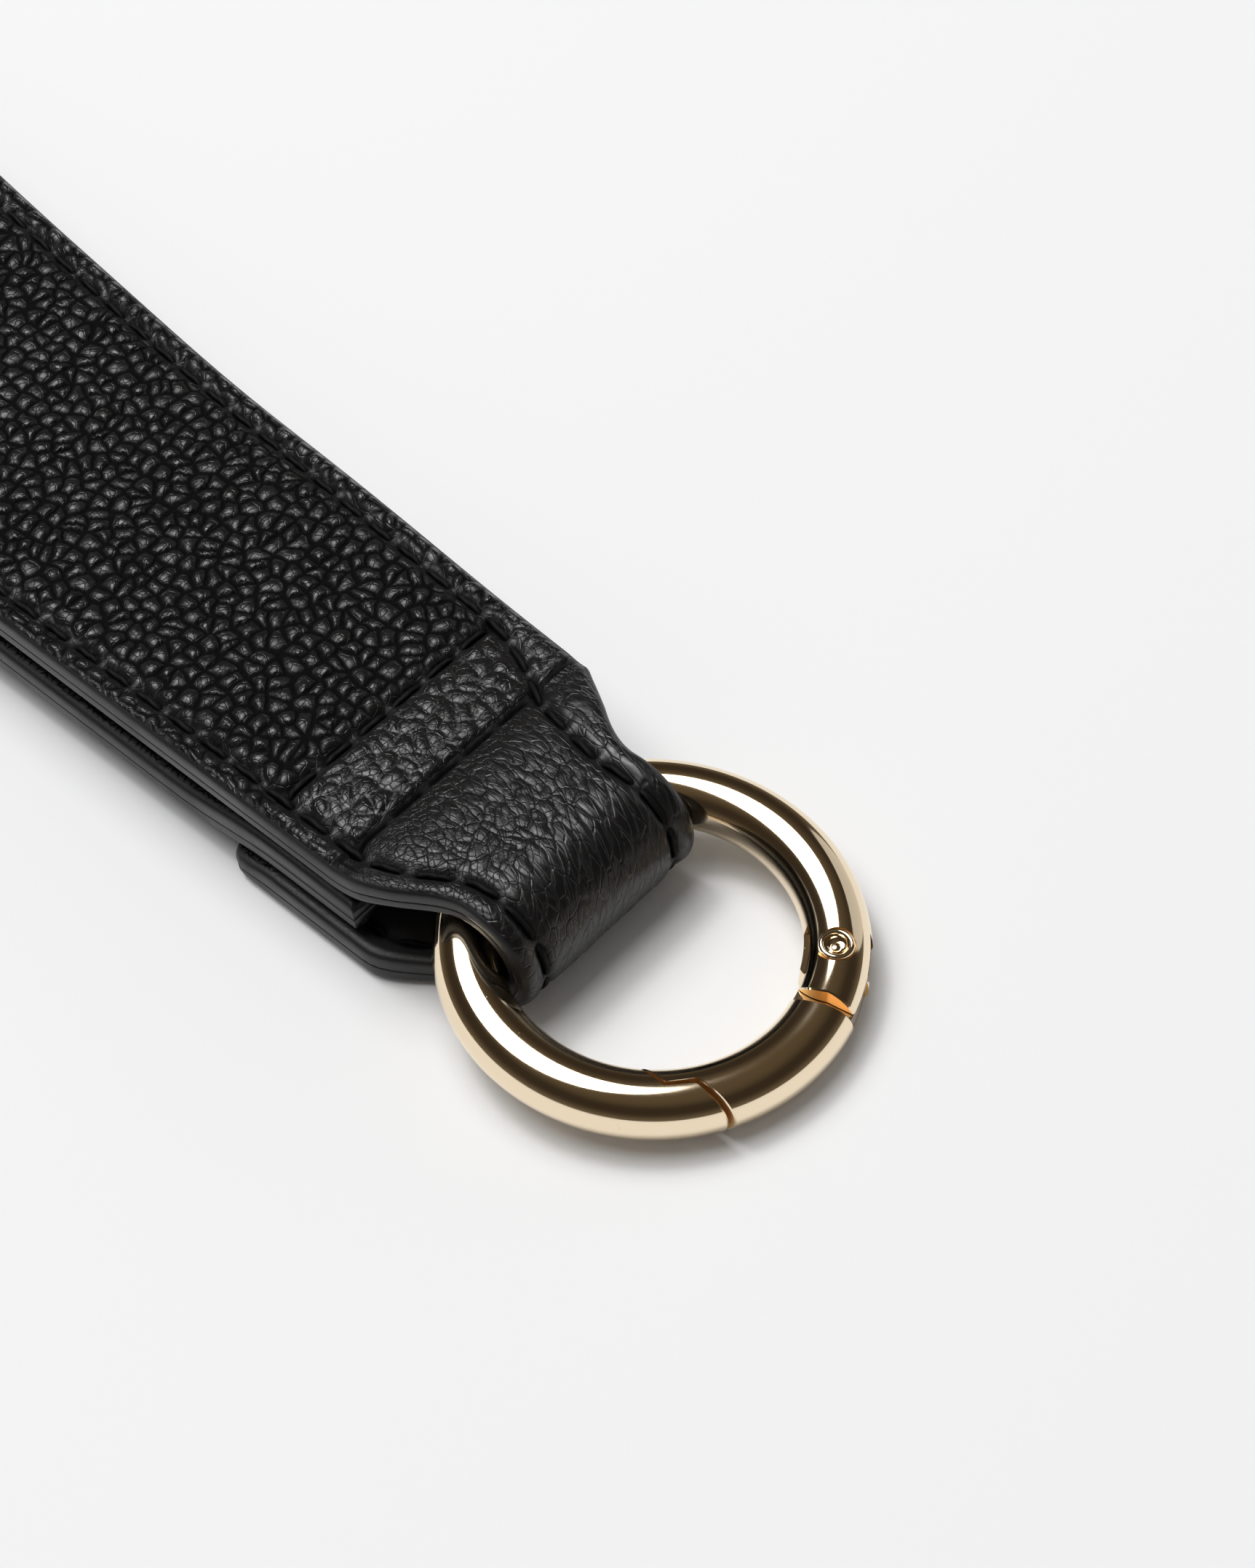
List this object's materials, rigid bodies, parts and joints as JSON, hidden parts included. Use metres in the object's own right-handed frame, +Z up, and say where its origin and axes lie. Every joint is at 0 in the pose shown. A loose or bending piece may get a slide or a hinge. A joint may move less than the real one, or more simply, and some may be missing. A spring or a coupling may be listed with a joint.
{
  "type": "wristlet keychain",
  "caption": "Leather wrist loop, sewn with a boxed seam round a round gold spring-gate ring that carries keys or clips to a bag.",
  "frame": {"origin": "middle of the underside's bounding box, on the surface the keychain lies on", "axes": "+X along the strap from the far bend towards the ring, +Z up from the surface, +Y across the strap"},
  "size_m": [0.165, 0.0434, 0.0176],
  "materials": {
    "pebbled_leather": "black pebbled grain, satin, with painted edges",
    "lining_leather": "black fine-grained lining, matt",
    "sewing_thread": "black bonded thread",
    "gold_plating": "polished pale gold plating",
    "spring_steel": "plain steel"
  },
  "bodies": {
    "strap": {"strap_outer_leather": "pebbled_leather", "strap_lining_leather": "lining_leather", "near_row_needle_thread": "sewing_thread", "near_row_bobbin_thread": "sewing_thread", "far_row_needle_thread": "sewing_thread", "far_row_bobbin_thread": "sewing_thread", "box_front_needle_thread": "sewing_thread", "box_front_bobbin_thread": "sewing_thread", "box_rear_needle_thread": "sewing_thread", "box_rear_bobbin_thread": "sewing_thread"},
    "ring": {"ring_body": "gold_plating", "hinge_rivet": "gold_plating", "gate_spring": "spring_steel"},
    "gate": {"gate": "gold_plating"},
    "plunger": {"spring_plunger": "spring_steel"}
  },
  "joints": [
    {"name": "ring_swing", "type": "hinge", "parent": "strap", "child": "ring", "pos_m": [0.05198, -0.00672, 0.0049], "axis": [0, -1, 0], "range_deg": [-30, 45], "deforming": ["strap_outer_leather", "strap_lining_leather", "near_row_needle_thread", "near_row_bobbin_thread", "far_row_needle_thread", "far_row_bobbin_thread"]},
    {"name": "gate_hinge", "type": "hinge", "parent": "ring", "child": "gate", "pos_m": [0.07774, 0.00029, 0.00261], "axis": [-0.1202, 0, -0.9927], "range_deg": [0, 28], "stiffness_Nm_per_rad": 0.06, "springref_deg": -17.19},
    {"name": "plunger_slide", "type": "slide", "parent": "ring", "child": "plunger", "axis": [-0.6681, 0.7396, 0.0809], "range_m": [0, 0.0009], "deforming": ["gate_spring"]}
  ],
  "couplings": [
    {"joint": "plunger_slide", "follows": "gate_hinge", "m_per_rad": 0.00175}
  ]
}
